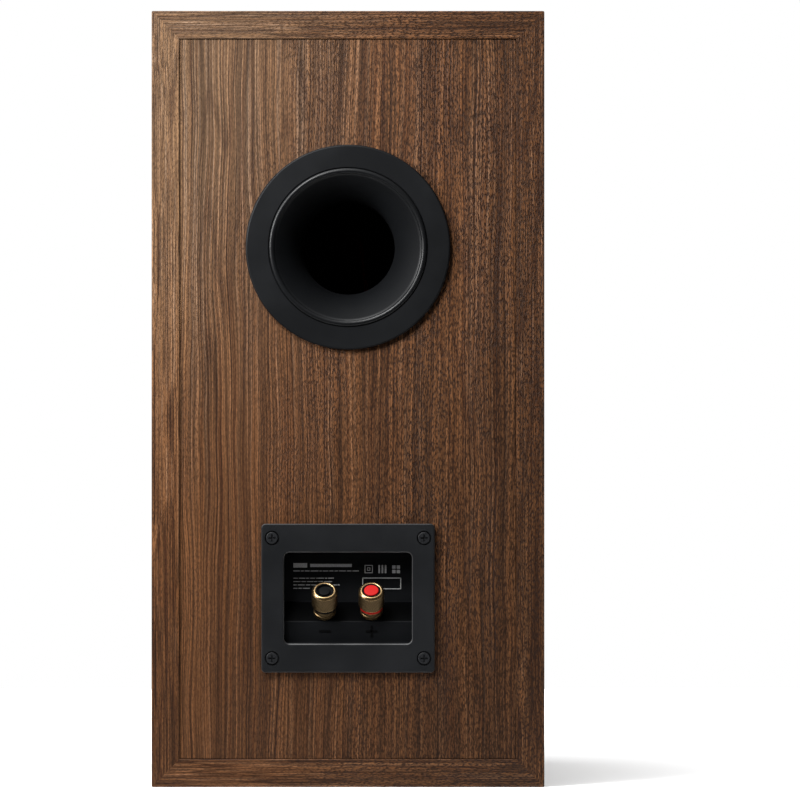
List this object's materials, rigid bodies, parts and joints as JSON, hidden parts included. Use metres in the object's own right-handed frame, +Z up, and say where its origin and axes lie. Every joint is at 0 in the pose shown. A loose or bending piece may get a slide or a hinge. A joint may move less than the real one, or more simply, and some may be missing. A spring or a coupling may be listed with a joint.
{
  "type": "bookshelf loudspeaker",
  "caption": "Two-way bookshelf loudspeaker with a walnut-wrapped mitred cabinet, inset back board, flared rear port and a sunken terminal tray with screw binding posts.",
  "frame": {"origin": "middle of the cabinet's footprint, on the surface it stands on (the base mount)", "axes": "+Z up; -Y is the front, where the drivers are; +Y is the rear, with the port and the terminals; +X is on the right seen from the front"},
  "size_m": [0.21, 0.3267, 0.415],
  "materials": {
    "walnut_wrap": "satin walnut wrap with fine grain",
    "satin_black_board": "satin black lacquer",
    "raw_board": "bare fibreboard",
    "acoustic_foam": "open-cell foam",
    "brass_insert": "bare brass",
    "port_plastic": "matte moulded",
    "black_screw": "black oxide",
    "tray_plastic": "matte moulded",
    "gold_plating": "gold plated, knurled and turned",
    "black_clamp_plastic": "glossy",
    "red_clamp_plastic": "glossy, translucent red",
    "satin_black_trim": "satin moulded",
    "cast_basket": "black powder coat",
    "surround_rubber": "soft matte",
    "cone_aluminium": "fine satin",
    "coil_former": "lacquered winding",
    "spider_cloth": "resin-coated cloth",
    "motor_steel": "zinc plated",
    "ferrite": "ground ferrite",
    "board_laminate": "green laminate",
    "copper_coil": "enamelled copper wire",
    "capacitor_sleeve": "film sleeve",
    "resistor_ceramic": "cement",
    "black_lead": "flexible sheath",
    "red_lead": "flexible sheath"
  },
  "bodies": {
    "cabinet": {"top_panel": "walnut_wrap", "bottom_panel": "walnut_wrap", "left_side_panel": "walnut_wrap", "right_side_panel": "walnut_wrap", "back_panel": "walnut_wrap", "front_baffle": "satin_black_board", "window_brace": "raw_board", "back_battens": "raw_board", "foam_lining": "acoustic_foam", "terminal_gasket": "acoustic_foam", "woofer_gasket": "acoustic_foam", "stand_inserts": "brass_insert", "solder_tags": "brass_insert", "port_trim_ring": "port_plastic", "port_flare": "port_plastic", "port_tube": "port_plastic", "port_inner_flare": "port_plastic", "port_screws": "black_screw", "terminal_screws": "black_screw", "driver_screws": "black_screw", "crossover_screws": "black_screw", "terminal_tray": "tray_plastic", "woofer_terminal": "tray_plastic", "crossover_standoffs": "tray_plastic", "post_collars": "gold_plating", "negative_post": "gold_plating", "positive_post": "gold_plating", "post_nuts": "gold_plating", "woofer_trim_ring": "satin_black_trim", "tweeter_trim_ring": "satin_black_trim", "tweeter_faceplate": "satin_black_trim", "tweeter_rear_cup": "satin_black_trim", "woofer_basket": "cast_basket", "woofer_surround": "surround_rubber", "tweeter_surround": "surround_rubber", "woofer_spider": "spider_cloth", "woofer_top_plate": "motor_steel", "woofer_pole_yoke": "motor_steel", "tweeter_top_plate": "motor_steel", "tweeter_pole_yoke": "motor_steel", "woofer_magnet": "ferrite", "tweeter_magnet": "ferrite", "crossover_board": "board_laminate", "crossover_coils": "copper_coil", "crossover_capacitors": "capacitor_sleeve", "crossover_resistors": "resistor_ceramic", "leads_negative": "black_lead", "leads_positive": "red_lead"},
    "woofer_moving": {"woofer_cone": "cone_aluminium", "woofer_dust_cap": "cone_aluminium", "woofer_voice_coil": "coil_former"},
    "tweeter_moving": {"tweeter_dome": "cone_aluminium", "tweeter_voice_coil": "coil_former"},
    "negative_clamp": {"negative_washer": "black_clamp_plastic"},
    "negative_screw_cap": {"negative_cap": "gold_plating"},
    "negative_plug": {"negative_stopper": "black_clamp_plastic"},
    "positive_clamp": {"positive_washer": "red_clamp_plastic"},
    "positive_screw_cap": {"positive_cap": "gold_plating"},
    "positive_plug": {"positive_stopper": "red_clamp_plastic"}
  },
  "joints": [
    {"name": "woofer_excursion", "type": "slide", "parent": "cabinet", "child": "woofer_moving", "axis": [0, -1, 0], "range_m": [-0.006, 0.006], "stiffness_N_per_m": 900, "deforming": ["woofer_surround", "woofer_spider"]},
    {"name": "tweeter_excursion", "type": "slide", "parent": "cabinet", "child": "tweeter_moving", "axis": [0, -1, 0], "range_m": [-0.0005, 0.0005], "stiffness_N_per_m": 500, "deforming": ["tweeter_surround"]},
    {"name": "negative_cap_lift", "type": "slide", "parent": "cabinet", "child": "negative_clamp", "axis": [0, 0.7071, 0.7071], "range_m": [0, 0.005]},
    {"name": "negative_cap_turn", "type": "hinge", "parent": "negative_clamp", "child": "negative_screw_cap", "pos_m": [0.0125, 0.1483, 0.0932], "axis": [0, 0.7071, 0.7071], "range_deg": [0, 1800]},
    {"name": "negative_plug_pull", "type": "slide", "parent": "negative_screw_cap", "child": "negative_plug", "axis": [0, 0.7071, 0.7071], "range_m": [0, 0.013]},
    {"name": "positive_cap_lift", "type": "slide", "parent": "cabinet", "child": "positive_clamp", "axis": [0, 0.7071, 0.7071], "range_m": [0, 0.005]},
    {"name": "positive_cap_turn", "type": "hinge", "parent": "positive_clamp", "child": "positive_screw_cap", "pos_m": [-0.0125, 0.1483, 0.0932], "axis": [0, 0.7071, 0.7071], "range_deg": [0, 1800]},
    {"name": "positive_plug_pull", "type": "slide", "parent": "positive_screw_cap", "child": "positive_plug", "axis": [0, 0.7071, 0.7071], "range_m": [0, 0.013]}
  ],
  "couplings": [
    {"joint": "negative_cap_turn", "follows": "negative_cap_lift", "rad_per_m": 6283.2},
    {"joint": "positive_cap_turn", "follows": "positive_cap_lift", "rad_per_m": 6283.2}
  ]
}
